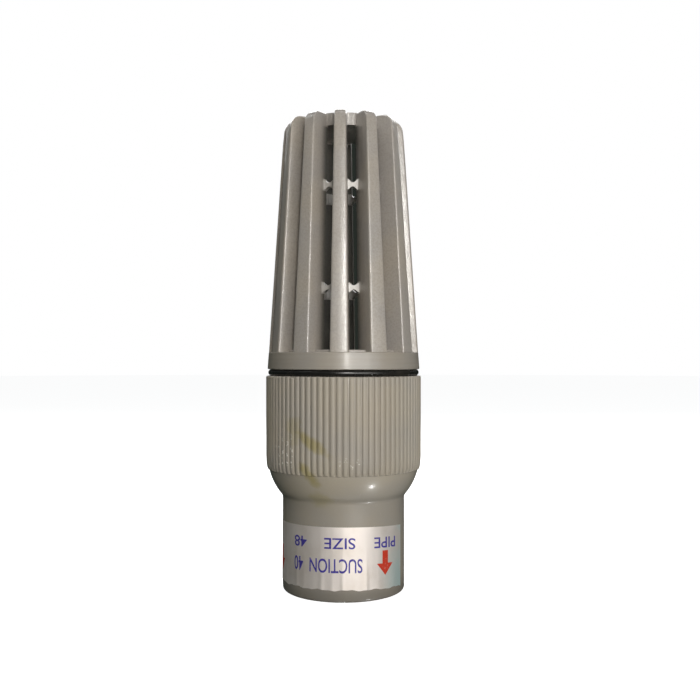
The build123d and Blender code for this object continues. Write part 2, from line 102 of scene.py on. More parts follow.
# A narrow lamp under the bench shines up the socket, so that the guide and the poppet can be seen from below.
bore_lamp = bpy.data.objects.new("bore_lamp", bpy.data.lights.new("bore_lamp", "SPOT"))
bpy.context.scene.collection.objects.link(bore_lamp)
BORE_LAMP_DROP = 0.50
bore_lamp.location = (0, 0, -BORE_LAMP_DROP)
bore_lamp.rotation_euler = (pi, 0, 0)
bore_lamp.data.spot_size = radians(5.6)
bore_lamp.data.spot_blend = 0.3
bore_lamp.data.shadow_soft_size = 0.012
bore_lamp.data.energy = 5.0
# Two broad lights behind edge the outline, and a weak one overhead lifts the tip.
for side in (-163.0, 163.0):
    soft_light("back", side, 36.0, 0.95, 0.80, 0.50, 4.0).data.specular_factor = 0.3
soft_light("high_top", 60.0, 78.0, 0.90, 0.40, 0.40, 0.8)


class Surroundings:
    """Writes a world's or a stage material's nodes."""

    def __init__(self, tree):
        self.tree = tree
        tree.nodes.clear()
        self.seen = self.add("ShaderNodeLightPath").outputs["Is Camera Ray"]

    def add(self, kind, **settings):
        node = self.tree.nodes.new(kind)
        for key, value in settings.items():
            setattr(node, key, value)
        return node

    def link(self, start, end):
        self.tree.links.new(start, end)

    def between(self, value, low, high):
        """Runs smoothly from 0 to 1 while the value runs from low to high."""
        node = self.add("ShaderNodeMapRange", interpolation_type="SMOOTHSTEP")
        self.link(value, node.inputs["Value"])
        node.inputs["From Min"].default_value = low
        node.inputs["From Max"].default_value = high
        return node.outputs["Result"]

    def blend(self, factor, a, b):
        """A colour between two: each is a socket or a fixed colour."""
        node = self.add("ShaderNodeMix", data_type="RGBA")
        self.link(factor, node.inputs["Factor"])
        for socket, colour in ((node.inputs["A"], a), (node.inputs["B"], b)):
            if isinstance(colour, tuple):
                socket.default_value = (*colour, 1)
            else:
                self.link(colour, socket)
        return node.outputs["Result"]

    def clear_where(self, hidden, shader):
        """Makes a stage piece of that shader, clear where hidden is 1."""
        node = self.add("ShaderNodeMixShader")
        self.link(hidden, node.inputs[0])
        self.link(shader, node.inputs[1])
        self.link(self.add("ShaderNodeBsdfTransparent").outputs[0], node.inputs[2])
        self.link(node.outputs[0], self.add("ShaderNodeOutputMaterial").inputs["Surface"])


def stage_piece(bm, name, finish):
    """An object with a new material of its own: returns the object and the material's nodes."""
    mesh = bpy.data.meshes.new(name)
    bm.to_mesh(mesh)
    bm.free()
    piece = bpy.data.objects.new(name, mesh)
    bpy.context.scene.collection.objects.link(piece)
    material = bpy.data.materials.new(finish)
    material.use_nodes = True
    mesh.materials.append(material)
    return piece, Surroundings(material.node_tree)


WHITE = (1.0, 1.0, 1.0)
world = bpy.data.worlds.new("pale_room")
bpy.context.scene.world = world
world.use_nodes = True
room = Surroundings(world.node_tree)
direction = room.add("ShaderNodeTexCoord").outputs["Generated"]
towards = room.add("ShaderNodeSeparateXYZ")
room.link(direction, towards.inputs[0])
rising = room.between(towards.outputs["Z"], 0.0, 0.70)
lit_room = room.blend(rising, (0.016, 0.023, 0.019), (0.12, 0.125, 0.13))
sky = room.add("ShaderNodeBackground")
room.link(room.blend(room.seen, lit_room, WHITE), sky.inputs["Color"])
room.link(sky.outputs[0], room.add("ShaderNodeOutputWorld").inputs["Surface"])

# The floor is white to the eye and dark to the valve. It is clear from underneath, for a look into the socket.
FLOOR_RADIUS, FLOOR_DROP = 6.0, 0.0002
disc = bmesh.new()
bmesh.ops.create_circle(disc, cap_ends=True, radius=FLOOR_RADIUS, segments=64)
floor, paper = stage_piece(disc, "floor", "pale_floor")
floor.location.z = -FLOOR_DROP
floor.visible_shadow = False          # the low glint comes up past it, as off a shiny bench
floor.visible_glossy = False
matt = paper.add("ShaderNodeBsdfDiffuse")
paper.link(paper.blend(paper.seen, (0.10, 0.11, 0.10), (0.80, 0.80, 0.79)), matt.inputs["Color"])
glow = paper.add("ShaderNodeEmission")
paper.link(paper.blend(paper.seen, (0.02, 0.024, 0.021), (0.88, 0.88, 0.88)), glow.inputs["Color"])
both = paper.add("ShaderNodeAddShader")
paper.link(matt.outputs[0], both.inputs[0])
paper.link(glow.outputs[0], both.inputs[1])
paper.clear_where(paper.add("ShaderNodeNewGeometry").outputs["Backfacing"], both.outputs[0])

# A dark card leans along the back of the cage, narrower than it: it is painted shade standing in for the shaded
# inside of the cage, so that its slots read dark against the white.
# It is clear from behind and from any slant, and only the camera sees it.
CARD_WIDTH, CARD_HEIGHT, CARD_LEAN = 0.025, 0.1058, radians(4.2)
CARD_BACK, CARD_LIFT = 0.0343, 0.16475        # its middle, behind the axis and above the floor
SQUARE_ON, SLANTING = 0.0440, 0.0475          # 1 less the cosine of the slant that it is seen at
sheet = bmesh.new()
bmesh.ops.create_grid(sheet, x_segments=1, y_segments=1, size=0.5)
bmesh.ops.scale(sheet, vec=(CARD_WIDTH, CARD_HEIGHT, 1.0), verts=sheet.verts[:])
shade_card, slot_shade = stage_piece(sheet, "slot_shade_card", "painted_slot_shade")
shade_card.location = (-sin(EYE_AZIMUTH) * CARD_BACK, cos(EYE_AZIMUTH) * CARD_BACK, CARD_LIFT)
shade_card.rotation_euler = (pi / 2 + CARD_LEAN, 0, EYE_AZIMUTH)
shade_card.visible_shadow = shade_card.visible_glossy = shade_card.visible_diffuse = shade_card.visible_transmission = False
# The card glows a dark green-grey: painted shade for the cage's inside.
dark = slot_shade.add("ShaderNodeEmission")
dark.inputs["Color"].default_value = (0.020, 0.024, 0.020, 1)
slant = slot_shade.between(slot_shade.add("ShaderNodeLayerWeight").outputs["Facing"], SQUARE_ON, SLANTING)
hidden = slot_shade.add("ShaderNodeMath", operation="MAXIMUM")
slot_shade.link(slant, hidden.inputs[0])
slot_shade.link(slot_shade.add("ShaderNodeNewGeometry").outputs["Backfacing"], hidden.inputs[1])
slot_shade.clear_where(hidden.outputs[0], dark.outputs[0])


# ------------------------------------------------------------------------------------------ valve body
# One injection moulding in grey PVC: a plain pipe socket, a round bell and a ridged grip with the female thread
# inside. The mould leaves it satin, with a fine orange peel, a parting line up the socket and handling marks.
class Recipe:
    """Writes a material's nodes: each call adds one and returns its output."""

    def __init__(self, name):
        self.material = bpy.data.materials.new(name)
        self.material.use_nodes = True
        self.tree = self.material.node_tree
        self.shader = self.tree.nodes["Principled BSDF"]
        self.place = self.add("ShaderNodeTexCoord").outputs["Object"]

    def add(self, kind, **settings):
        node = self.tree.nodes.new(kind)
        for key, value in settings.items():
            setattr(node, key, value)
        return node

    def feed(self, socket, value):
        if isinstance(value, bpy.types.NodeSocket):
            self.tree.links.new(value, socket)
        elif value is not None:
            socket.default_value = value

    def paint(self, **looks):
        """Feeds the shader's own sockets, named with underscores for spaces."""
        for key, value in looks.items():
            self.feed(self.shader.inputs[key.replace("_", " ")], value)
        return self.material

    def math(self, operation, a, b=None):
        node = self.add("ShaderNodeMath", operation=operation)
        self.feed(node.inputs[0], a)
        self.feed(node.inputs[1], b)
        return node.outputs[0]

    def axis(self, letter):
        node = self.add("ShaderNodeSeparateXYZ")
        self.feed(node.inputs[0], self.place)
        return node.outputs[letter]

    def radius(self):
        """The distance from the valve's axis, in metres."""
        squares = [self.math("POWER", self.axis(letter), 2.0) for letter in "XY"]
        return self.math("SQRT", self.math("ADD", *squares))

    def grain(self, scale, detail=2.0, rough=0.5, place=None, distort=0.0):
        node = self.add("ShaderNodeTexNoise")
        self.feed(node.inputs["Vector"], place or self.place)
        node.inputs["Scale"].default_value = scale
        node.inputs["Detail"].default_value = detail
        node.inputs["Roughness"].default_value = rough
        node.inputs["Distortion"].default_value = distort
        return node.outputs["Fac"]

    def stretched(self, scale):
        node = self.add("ShaderNodeMapping")
        self.feed(node.inputs["Vector"], self.place)
        node.inputs["Scale"].default_value = scale
        return node.outputs["Vector"]

    def ramp(self, value, low, high, to_low=0.0, to_high=1.0):
        node = self.add("ShaderNodeMapRange", interpolation_type="SMOOTHSTEP")
        self.feed(node.inputs["Value"], value)
        for socket, number in zip(node.inputs[1:5], (low, high, to_low, to_high)):
            socket.default_value = number
        return node.outputs["Result"]

    def mix(self, factor, a, b):
        node = self.add("ShaderNodeMix", data_type="RGBA")
        self.feed(node.inputs["Factor"], factor)
        self.feed(node.inputs["A"], (*a, 1) if isinstance(a, tuple) else a)
        self.feed(node.inputs["B"], (*b, 1) if isinstance(b, tuple) else b)
        return node.outputs["Result"]

    def bump(self, height, distance, under=None):
        node = self.add("ShaderNodeBump")
        self.feed(node.inputs["Height"], height)
        node.inputs["Distance"].default_value = distance
        self.feed(node.inputs["Normal"], under)
        return node.outputs["Normal"]

    def patch(self, centre, size, lean=0.0, wobble=0.0):
        """1 in the middle of a soft-edged ellipsoid, leaning about Y in degrees, and 0 outside. Millimetres."""
        shifted = self.add("ShaderNodeVectorMath", operation="SUBTRACT")
        self.feed(shifted.inputs[0], self.place)
        shifted.inputs[1].default_value = [c * MM for c in centre]
        turned = self.add("ShaderNodeVectorRotate", rotation_type="Y_AXIS")
        self.feed(turned.inputs["Vector"], shifted.outputs[0])
        turned.inputs["Angle"].default_value = radians(lean)
        scaled = self.add("ShaderNodeVectorMath", operation="DIVIDE")
        self.feed(scaled.inputs[0], turned.outputs[0])
        scaled.inputs[1].default_value = [s * MM for s in size]
        length = self.add("ShaderNodeVectorMath", operation="LENGTH")
        self.feed(length.inputs[0], scaled.outputs[0])
        reach = length.outputs["Value"]
        if wobble:
            uneven = self.math("SUBTRACT", self.grain(260.0, 3), 0.5)
            reach = self.math("ADD", reach, self.math("MULTIPLY", uneven, wobble))
        return self.ramp(reach, 1.0, 0.3)


def grey_pvc(name, shade, roughness, peel, peel_scale):
    """Grey PVC: faintly cloudy colour, a few pale specks, and a skin of that depth in metres."""
    r = Recipe(name)
    cloud = r.ramp(r.grain(38.0, 3, 0.55), 0.30, 0.72)
    fleck = r.ramp(r.grain(1500.0, 1, 0.5), 0.62, 0.80)
    cool = tuple(c * k for c, k in zip(shade, (0.94, 0.96, 1.0)))
    warm = tuple(c * k for c, k in zip(shade, (1.05, 1.03, 0.98)))
    pale_fleck = tuple(c * 1.5 for c in shade)
    r.colour = r.mix(r.math("MULTIPLY", fleck, 0.15), r.mix(cloud, cool, warm), pale_fleck)
    coarse = r.math("MULTIPLY", r.grain(peel_scale, 2, 0.55), 0.8)
    fine = r.math("MULTIPLY", r.grain(peel_scale * 3.1, 2, 0.6), 0.2)
    r.skin = r.bump(r.math("ADD", coarse, fine), peel)
    scuff = r.ramp(r.grain(240.0, 4, 0.65), 0.50, 0.72)
    r.dull = r.math("ADD", r.math("MULTIPLY", scuff, 0.12), roughness)
    r.paint(Base_Color=r.colour, Roughness=r.dull, Normal=r.skin, IOR=1.53)
    return r


def spun(bm, outline, steps):
    """A closed outline of (radius, height) in millimetres, spun all round the valve's axis."""
    corners = [bm.verts.new((r * MM, 0, z * MM)) for r, z in outline]
    edges = [bm.edges.new(pair) for pair in zip(corners, corners[1:] + corners[:1])]
    bmesh.ops.spin(
        bm, geom=corners + edges, cent=(0, 0, 0), axis=(0, 0, 1), angle=2 * pi, steps=steps, use_merge=True
    )


def arc(centre_r, centre_z, radius, start, end, count):
    """Points of (radius, height) on an arc, from one angle to another in degrees."""
    turns = [radians(start + (end - start) * i / count) for i in range(count + 1)]
    return [(centre_r + radius * cos(t), centre_z + radius * sin(t)) for t in turns]


def screwed(bm, section, pitch, turns, per_turn):
    """A closed section of (radius, height) in millimetres, screwed up round the axis and closed at both ends."""
    corners = [bm.verts.new((r * MM, 0, z * MM)) for r, z in section]
    first = bm.faces.new(corners)
    steps = round(per_turn * turns)
    made = bmesh.ops.spin(
        bm,
        geom=corners + first.edges[:],
        cent=(0, 0, 0),
        axis=(0, 0, 1),
        dvec=(0, 0, pitch * turns * MM / steps),
        angle=2 * pi * turns,
        steps=steps,
    )
    last = [v for v in made["geom_last"] if isinstance(v, bmesh.types.BMVert)]
    bmesh.ops.contextual_create(bm, geom=last)


def threaded(bm, root, crest, root_width, crest_width, start):
    """A thread's ridge between two radii, with its widths along the axis, in millimetres."""
    section = [
        (root, start - root_width / 2),
        (crest, start - crest_width / 2),
        (crest, start + crest_width / 2),
        (root, start + root_width / 2),
    ]
    screwed(bm, section, PITCH, THREAD_TURNS, THREAD_STEPS)


def repeated(bm, geom, count):
    """The same geometry turned to that many places round the axis."""
    angle = 2 * pi * (count - 1) / count
    bmesh.ops.spin(
        bm, geom=geom, cent=(0, 0, 0), axis=(0, 0, 1), angle=angle, steps=count - 1, use_duplicate=True
    )


def turned(bm, angle):
    """Turns the whole mesh round the valve's axis."""
    bmesh.ops.rotate(bm, verts=bm.verts[:], cent=(0, 0, 0), matrix=Matrix.Rotation(angle, 3, "Z"))


def joined(bm, extra):
    """Moves one mesh's geometry into another."""
    mesh = bpy.data.meshes.new("extra")
    extra.to_mesh(mesh)
    extra.free()
    bm.from_mesh(mesh)
    bpy.data.meshes.remove(mesh)


SAME_PLACE = 1e-7
SHARP_ANGLE = radians(34)


def finished(bm, name, body, material, slot, *stands_for):
    """Normals out, smooth where it curves, its own object on its body, with its finish."""
    bmesh.ops.remove_doubles(bm, verts=bm.verts[:], dist=SAME_PLACE)
    bmesh.ops.recalc_face_normals(bm, faces=bm.faces[:])
    mesh = bpy.data.meshes.new(name)
    bm.to_mesh(mesh)
    bm.free()
    mesh.shade_smooth()
    mesh.set_sharp_from_angle(angle=SHARP_ANGLE)
    mesh.materials.append(material)
    piece = bpy.data.objects.new(name, mesh)
    bpy.context.scene.collection.objects.link(piece)
    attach(piece, body)
    if stands_for:
        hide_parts(*stands_for)
    return piece


body_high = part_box("valve_body")[1]
BODY_TOP = body_high.z / MM
RIDGE_HEIGHT = 0.7
BASE_RADIUS = body_high.x / MM - RIDGE_HEIGHT
NECK_RADIUS = 28.5
RIM_ROUND = 1.6
BORE_RADIUS = 24.15
BORE_CHAMFER = 1.0
SOCKET_DEPTH = 44.0
STOP_RADIUS = 20.0
POCKET_RADIUS, POCKET_FOOT, POCKET_TOP = 25.6, 51.0, 57.0     # the guide's seat above the pipe stop
BELL_ARC = 27.5
BELL_WALL = 4.4
BELL_RADIUS = BASE_RADIUS - BELL_ARC
BELL_HEIGHT = SOCKET_DEPTH + sqrt(BELL_ARC**2 - (NECK_RADIUS - BELL_RADIUS) ** 2)
CREASE_REACH = 1.1            # the crease between neck and bell is eased over this much of the neck
CREASE_ARC = 2.4              # and this many degrees of the bell
CHAMBER_RADIUS = BASE_RADIUS - BELL_WALL
MOUTH_ROUND = 0.5
THREAD_ROOT, THREAD_CREST = 31.65, 30.25
THREAD_CHAMFER = 0.35
THREAD_BITE = 0.1             # a thread's foot is sunk in its wall
THREAD_LEAD_IN = 1.2
THREAD_TURNS, THREAD_STEPS = 3.15, 96
PITCH = 3.0
MALE_FOOT, MALE_TIP = 0.7 * PITCH, 0.3 * PITCH
FEMALE_FOOT, FEMALE_TIP = 0.53 * PITCH, 0.18 * PITCH
NECK_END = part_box("strainer_collar")[0].z / MM
BORE_END = NECK_END - 1.0     # the thread's bore runs on below the collar's neck

crease = degrees(atan2(SOCKET_DEPTH - BELL_HEIGHT, NECK_RADIUS - BELL_RADIUS))
bell = arc(BELL_RADIUS, BELL_HEIGHT, BELL_ARC, crease + CREASE_ARC, 0, 22)
eased = ((NECK_RADIUS, SOCKET_DEPTH - CREASE_REACH), (NECK_RADIUS, SOCKET_DEPTH), bell[0])
blended = []
for i in range(5):
    t = i / 5
    weights = ((1 - t) ** 2, 2 * t * (1 - t), t**2)
    blended.append(tuple(sum(w * p[k] for w, p in zip(weights, eased)) for k in (0, 1)))
slope_angle = degrees(atan2(-2.3, 22.98))     # where the chamber's round meets the slope to the guide's pocket
moulding = bmesh.new()
spun(
    moulding,
    [(BORE_RADIUS + BORE_CHAMFER, 0.0)]
    + arc(NECK_RADIUS - RIM_ROUND, RIM_ROUND, RIM_ROUND, -90, 0, 8)
    + [(NECK_RADIUS, 5.0), (NECK_RADIUS, 20.0), (NECK_RADIUS, 38.0)]
    + blended
    + bell
    + [(BASE_RADIUS, 80.0)]
    + arc(BASE_RADIUS - MOUTH_ROUND, BODY_TOP - MOUTH_ROUND, MOUTH_ROUND, 0, 90, 4)
    + [
        (THREAD_ROOT + THREAD_CHAMFER, BODY_TOP),
        (THREAD_ROOT, BODY_TOP - THREAD_CHAMFER),
        (THREAD_ROOT, BORE_END),
        (CHAMBER_RADIUS, BORE_END),
    ]
    + arc(BELL_RADIUS, BELL_HEIGHT, BELL_ARC - BELL_WALL, 0, slope_angle, 4)
    + [
        (POCKET_RADIUS, POCKET_TOP),
        (POCKET_RADIUS, POCKET_FOOT),
        (STOP_RADIUS, POCKET_FOOT),
        (STOP_RADIUS, SOCKET_DEPTH),
        (BORE_RADIUS, SOCKET_DEPTH),
        (BORE_RADIUS, BORE_CHAMFER),
    ],
    192,
)

# The grip's ridges: a rounded bar, cut off square where it runs out on the bell and eased at the grip's mouth.
# Its section is given as (half width, height), and its rows as (length along it, share of its height).
RIDGES = 80
RIDGE_FOOT = BODY_TOP - 43.3
ridge = bmesh.new()
height_of = ridge.verts.layers.float.new("height")
side = [(1.13, -0.60), (1.13, -0.02), (1.02, 0.30), (0.80, 0.52), (0.44, 0.65)]
section = side + [(0.0, RIDGE_HEIGHT)] + [(-y, h) for y, h in reversed(side)]
rows = [(0.00, 0.45), (0.16, 0.86), (0.45, 1.0), (1.8, 1.0), (3.4, 1.0), (BELL_HEIGHT - RIDGE_FOOT, 1.0)]
rows += [(18.0, 1.0), (30.0, 1.0), (42.6, 1.0), (42.95, 0.88), (43.15, 0.60), (43.24, 0.20)]


def ridge_row(verts, up, share):
    """Lays one section of the ridge on the bell's or the grip's outline, that far above the ridge's foot."""
    z = RIDGE_FOOT + up
    drop = max(0.0, BELL_HEIGHT - z)
    for v in verts:
        rise = v[height_of] * (share if v[height_of] > 0 else 1.0)
        v.co.x = (BELL_RADIUS + sqrt((BELL_ARC + rise) ** 2 - drop**2)) * MM
        v.co.z = z * MM


corners = []
for y, h in section:
    corner = ridge.verts.new((0, y * MM, 0))
    corner[height_of] = h
    corners.append(corner)
face = ridge.faces.new(corners)
ridge_row(corners, *rows[0])
for up, share in rows[1:]:
    made = bmesh.ops.extrude_face_region(ridge, geom=[face], use_keep_orig=up == rows[1][0])["geom"]
    face = next(g for g in made if isinstance(g, bmesh.types.BMFace))
    ridge_row(face.verts, up, share)
turned(ridge, -pi / 2)
repeated(ridge, ridge.verts[:] + ridge.edges[:] + ridge.faces[:], RIDGES)

# Each bar is worn unevenly, and one has a chip out of its top.
WEAR = 0.05
CHIP_REACH, CHIP_DEPTH = 2.2, 0.75
chip = Vector((-20.8, -29.7, BODY_TOP)) * MM
for v in ridge.verts:
    out = Vector((v.co.x, v.co.y, 0)).normalized()
    v.co -= out * abs(noise.noise(Vector((out.x * 9, out.y * 9, v.co.z * 60)))) * WEAR * MM
    near = (v.co - chip).length / MM
    if near < CHIP_REACH:
        v.co.z -= CHIP_DEPTH * MM * (1 - near / CHIP_REACH)
joined(moulding, ridge)

# The female thread, and the parting line where the label leaves the socket bare.
first_turn = NECK_END + THREAD_LEAD_IN + MALE_FOOT / 2
threaded(moulding, THREAD_ROOT + THREAD_BITE, THREAD_CREST, FEMALE_FOOT, FEMALE_TIP, first_turn - PITCH / 2)
PARTING_WIDTH, PARTING_DEPTH, PARTING_SUNK = 0.42, 1.0, 0.38
for angle in (8.0, 188.0):
    for low, high in ((1.7, 5.4), (33.7, 43.2)):
        around = Matrix.Rotation(radians(angle - 90), 4, "Z")
        place = Matrix.Translation(((NECK_RADIUS - PARTING_SUNK) * MM, 0, (low + high) / 2 * MM))
        bulk = Matrix.Diagonal((PARTING_DEPTH * MM, PARTING_WIDTH * MM, (high - low) * MM, 1))
        bmesh.ops.create_cube(moulding, size=1.0, matrix=around @ place @ bulk)

r = grey_pvc("grey_pvc_body", (0.345, 0.310, 0.260), 0.34, 0.000010, 900.0)
# Old stains on the front: where each is, its size, its lean, how ragged it is and how strong.
STAINS = (
    ((-12.5, -33, 71.0), (12.5, 14, 3.6), -33, 0.9, 1.0),
    ((-13.2, -33, 56.6), (8.5, 14, 3.2), -50, 0.9, 1.0),
    ((-8.7, -30, 45.5), (7.5, 14, 5.0), -10, 0.9, 0.55),
    ((-19.5, -28, 76.0), (6.0, 14, 9.0), 0, 1.2, 0.5),
)
stain = 0.0
for centre, spread, lean, ragged, strength in STAINS:
    stain = r.math("MAXIMUM", stain, r.math("MULTIPLY", r.patch(centre, spread, lean, ragged), strength))
colour = r.mix(r.math("MULTIPLY", stain, 0.85), r.colour, (0.278, 0.238, 0.112))
# Painted shade darkens the grooves between the ridges, and the ridges' ends carry small pale nicks.
depth, height = r.radius(), r.axis("Z")
base = BASE_RADIUS * MM
groove_shade = r.math("MULTIPLY", r.ramp(depth, base + 0.28 * MM, base), r.ramp(height, 0.0560, 0.0580))
colour = r.mix(r.math("MULTIPLY", groove_shade, 0.22), colour, (0.115, 0.100, 0.078))
# Painted shade darkens the socket under the bell's overhang, crease included, and more strongly its foot next to the
# floor.
shade_under_bell = r.ramp(height, 0.0490, 0.0420, 0.0, 0.22)
shade_near_floor = r.ramp(height, 0.0100, 0.0020, 0.0, 0.45)
colour = r.mix(r.math("ADD", shade_under_bell, shade_near_floor), colour, (0.110, 0.100, 0.086))
nicked_front = r.patch((5.0, -36, 60.5), (7.0, 12, 5.0))
nicked_left = r.patch((-24.5, -26, 62.0), (7.5, 14, 18.0))
nicks = r.ramp(r.grain(800.0, 1, 0.4), 0.60, 0.64)
nicks = r.math("MULTIPLY", nicks, r.ramp(depth, base + 0.45 * MM, base + 0.62 * MM))
nicks = r.math("MULTIPLY", nicks, r.math("MAXIMUM", nicked_front, nicked_left))
colour = r.mix(nicks, colour, (0.75, 0.72, 0.66))
ridged = r.math("MULTIPLY", r.ramp(depth, base - 0.2 * MM, base + 0.1 * MM), r.ramp(height, 0.0555, 0.0570))
r.paint(
    Base_Color=colour,
    Coat_Weight=r.math("SUBTRACT", 0.45, r.math("MULTIPLY", ridged, 0.42)),
    Specular_IOR_Level=r.math("SUBTRACT", 0.5, r.math("MULTIPLY", ridged, 0.25)),
    Coat_Roughness=0.15,
)
finished(moulding, "moulded_body", "valve_body", r.material, "grey_pvc_body", "valve_body")


# ---------------------------------------------------------------------------------------------- label
# A thin printed foil label, stuck round the front and left of the socket by hand: a little askew, with soft
# pleats along its lower edge where the foil ran out of true. It stands upside down, as the valve is stored.
LABEL_LOW, LABEL_HIGH = (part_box("body_label")[i].z / MM for i in (0, 1))
LABEL_FROM, LABEL_TO = -150.0, 69.0
LABEL_STEPS, LABEL_ROWS = 260, 22
FOIL = 0.03
FOIL_LIFT, FOIL_LEAST, FOIL_WAVE = 0.05, 0.03, 0.05     # how far the foil stands off the socket
# Each pleat: its place in degrees from the front, its width in degrees and how far it stands out.
PLEATS = (
    (-138, 5, 0.16),
    (-112, 4, 0.13),
    (-84, 3, 0.16),
    (-61, 2.6, 0.15),
    (-44, 2.2, 0.20),
    (-35, 3.2, 0.14),
    (-17, 2.4, 0.24),
    (-7, 2.0, 0.10),
    (2.5, 1.9, 0.22),
    (15, 2.6, 0.12),
    (24, 1.8, 0.26),
    (37, 3.0, 0.12),
    (55, 3.5, 0.10),
)


def askew(degrees_round):
    """How far the label's middle line wanders up or down at that place, in millimetres."""
    if degrees_round > 0:
        return -1.7 * (degrees_round / LABEL_TO) ** 2
    return -1.0 * (min(-degrees_round, 90) / 90) ** 2


def foil_surface(degrees_round, height):
    """Where a point of the flat label lies once it is stuck on: degrees from the front, height in millimetres."""
    low = 1 - (height - LABEL_LOW) / (LABEL_HIGH - LABEL_LOW)
    lift = FOIL_LIFT
    for place, width, rise in PLEATS:
        lift += rise * exp(-(((degrees_round - place) / width) ** 2)) * (0.10 + 0.90 * max(0.0, low) ** 2.2)
    lift += FOIL_WAVE * noise.noise(Vector((degrees_round / 9, height / 11, 0)))
    turn = radians(degrees_round - 90)
    out = Vector((cos(turn), sin(turn), 0))
    r = (NECK_RADIUS + max(FOIL_LEAST, lift)) * MM
    return Vector((r * out.x, r * out.y, (height + askew(degrees_round)) * MM)), out


foil = bmesh.new()
bmesh.ops.create_grid(foil, x_segments=LABEL_STEPS, y_segments=LABEL_ROWS, size=0.5)
for v in foil.verts:
    turn = LABEL_FROM + (LABEL_TO - LABEL_FROM) * (v.co.x + 0.5)
    height = LABEL_LOW + (LABEL_HIGH - LABEL_LOW) * (v.co.y + 0.5)
    if v.co.y < -0.499:                       # the cut edge is a little wavy
        height += 0.22 * sin(turn / 4.1) + 0.14 * sin(turn / 1.7 + 1.0)
    v.co = foil_surface(turn, height)[0]
bmesh.ops.recalc_face_normals(foil, faces=foil.faces[:])
bmesh.ops.solidify(foil, geom=foil.faces[:], thickness=FOIL * MM)

r = Recipe("printed_foil")
crinkle = r.grain(160.0, 4, 0.6, r.stretched((1.0, 1.0, 0.35)))
tarnish = r.ramp(r.grain(70.0, 4, 0.6), 0.42, 0.75)
foil_colour = r.mix(r.math("MULTIPLY", tarnish, 0.40), (0.86, 0.79, 0.74), (0.66, 0.57, 0.48))
# A painted green-blue sheen tints the right end of the foil.
painted_sheen = r.math("MULTIPLY", r.ramp(r.axis("X"), 0.016, 0.0275), r.ramp(r.grain(55.0, 2), 0.35, 0.65))
foil_colour = r.mix(painted_sheen, foil_colour, (0.60, 0.74, 0.72))
tooth = r.math("MULTIPLY", r.grain(1300.0, 1), 0.15)
r.paint(
    Base_Color=foil_colour,
    Metallic=0.62,
    Roughness=r.math("ADD", r.math("MULTIPLY", crinkle, 0.22), 0.42),
    Normal=r.bump(r.math("ADD", crinkle, tooth), 0.00012),
)
finished(foil, "foil_label", "valve_body", r.material, "label_foil", "body_label")


# The print is two thin inks on the foil: plain size marks in blue and a red arrow for the way the water goes.
INK_TOP, INK_FOOT = 0.035, 0.005
SLICE = 0.7                   # the print is cut this fine, to bend round the socket


def ink(name, shade):
    r = Recipe(name)
    worn = r.ramp(r.grain(900.0, 3, 0.7), 0.56, 0.80)
    r.paint(
        Base_Color=r.mix(r.math("MULTIPLY", worn, 0.45), shade, (0.70, 0.62, 0.52)),
        Roughness=r.ramp(r.grain(300.0, 2), 0.3, 0.7, 0.32, 0.48),
        Metallic=0.15,
    )
    return r.material


def printed(name, material, flat, degrees_round, height, wide, tall):
    """Slices a flat print, fits it to a size in millimetres, turns it upside down and lays it on the foil."""
    low = [min(v.co[k] for v in flat.verts) for k in (0, 1)]
    high = [max(v.co[k] for v in flat.verts) for k in (0, 1)]
    for v in flat.verts:
        v.co.x = ((v.co.x - low[0]) / (high[0] - low[0]) - 0.5) * -wide
        v.co.y = ((v.co.y - low[1]) / (high[1] - low[1]) - 0.5) * -tall
    for reach, along in ((wide, 0), (tall, 1)):
        normal = Vector((1, 0, 0)) if along == 0 else Vector((0, 1, 0))
        for i in range(1, int(reach / SLICE)):
            everything = flat.verts[:] + flat.edges[:] + flat.faces[:]
            bmesh.ops.bisect_plane(flat, geom=everything, plane_co=normal * (i * SLICE - reach / 2), plane_no=normal)
    top = max(v.co.z for v in flat.verts)
    for v in flat.verts:
        place, out = foil_surface(degrees_round + degrees(v.co.x / NECK_RADIUS), height + v.co.y)
        v.co = place + out * ((INK_TOP if v.co.z > top / 2 else INK_FOOT) * MM)
    finished(flat, name, "valve_body", material, "label_foil")


def lettering(text):
    """The outlines of some text as a thin solid."""
    curve = bpy.data.curves.new(text, "FONT")
    curve.body = text
    curve.resolution_u = 5
    curve.extrude = 0.02
    curve.offset = 0.010
    flat = bpy.data.objects.new(text, curve)
    bpy.context.scene.collection.objects.link(flat)
    bpy.context.view_layer.update()
    mesh = bpy.data.meshes.new_from_object(flat.evaluated_get(bpy.context.evaluated_depsgraph_get()))
    solid = bmesh.new()
    solid.from_mesh(mesh)
    bmesh.ops.remove_doubles(solid, verts=solid.verts[:], dist=1e-5)
    bpy.data.objects.remove(flat)
    bpy.data.curves.remove(curve)
    bpy.data.meshes.remove(mesh)
    return solid


def arrow():
    """A plain arrow, drawn pointing up: a bar and a triangle as one outline, with a little thickness."""
    solid = bmesh.new()
    outline = ((-0.16, 0), (0.16, 0), (0.16, 0.52), (0.46, 0.52), (0, 1), (-0.46, 0.52), (-0.16, 0.52))
    face = solid.faces.new([solid.verts.new((x, y, 0)) for x, y in outline])
    made = bmesh.ops.extrude_face_region(solid, geom=[face], use_keep_orig=True)["geom"]
    bmesh.ops.translate(solid, verts=[g for g in made if isinstance(g, bmesh.types.BMVert)], vec=(0, 0, 0.04))
    return solid


blue_ink = ink("blue_ink", (0.060, 0.048, 0.300))
red_ink = ink("red_ink", (0.560, 0.045, 0.022))
printed("print_use", blue_ink, lettering("SUCTION  40"), -13.5, 16.4, 33.5, 6.3)
printed("print_size", blue_ink, lettering("PIPE    SIZE    48"), 5.5, 26.3, 52.0, 4.9)
printed("print_arrow", red_ink, arrow(), 44.0, 17.2, 9.6, 11.0)
printed("print_side_arrow", red_ink, arrow(), -75.0, 16.5, 7.6, 12.0)
printed("print_back_size", blue_ink, lettering("40"), -118.0, 17.0, 12.0, 9.0)
